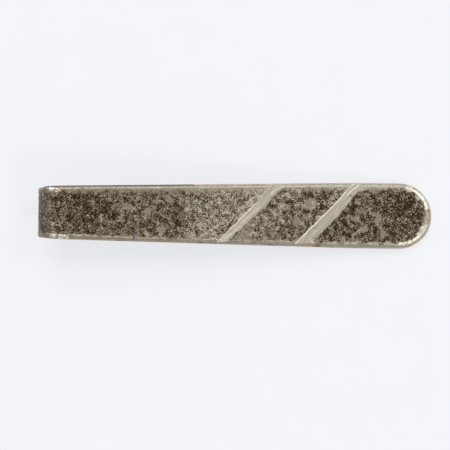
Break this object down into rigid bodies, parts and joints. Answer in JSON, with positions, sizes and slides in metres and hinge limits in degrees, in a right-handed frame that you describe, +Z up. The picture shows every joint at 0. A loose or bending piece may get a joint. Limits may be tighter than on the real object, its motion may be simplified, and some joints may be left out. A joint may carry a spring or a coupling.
{
  "type": "tie bar",
  "caption": "Tapered metal tie bar with a rounded end, two slanting cuts across its face, and a sprung hinged clasp with a toothed jaw behind.",
  "frame": {"origin": "centre of the bounding box's bottom face, with the clip lying face up on its hinge and its rounded end", "axes": "+X from the folded end to the rounded end, +Y across the bar, +Z up, out of the face"},
  "size_m": [0.0566, 0.0094, 0.0089],
  "materials": {
    "tarnished_plate": "worn and tarnished plating with dark mottling",
    "aged_brass": "dull, aged",
    "nickel_plate": "satin nickel plate",
    "spring_steel": "drawn wire"
  },
  "bodies": {
    "bar": {"face_shell": "tarnished_plate", "backing_strip": "aged_brass", "hinge_bracket": "nickel_plate", "bracket_rivet_rear": "nickel_plate", "bracket_rivet_front": "nickel_plate", "hinge_pin": "nickel_plate", "torsion_spring": "spring_steel"},
    "jaw": {"jaw_lever": "nickel_plate"}
  },
  "joints": [
    {"name": "jaw_pivot", "type": "hinge", "parent": "bar", "child": "jaw", "pos_m": [-0.00995, 0, 0.00136], "axis": [0, 1, 0], "range_deg": [0, 7.5], "stiffness_Nm_per_rad": 0.02, "springref_deg": -68.75, "deforming": ["torsion_spring"]}
  ]
}
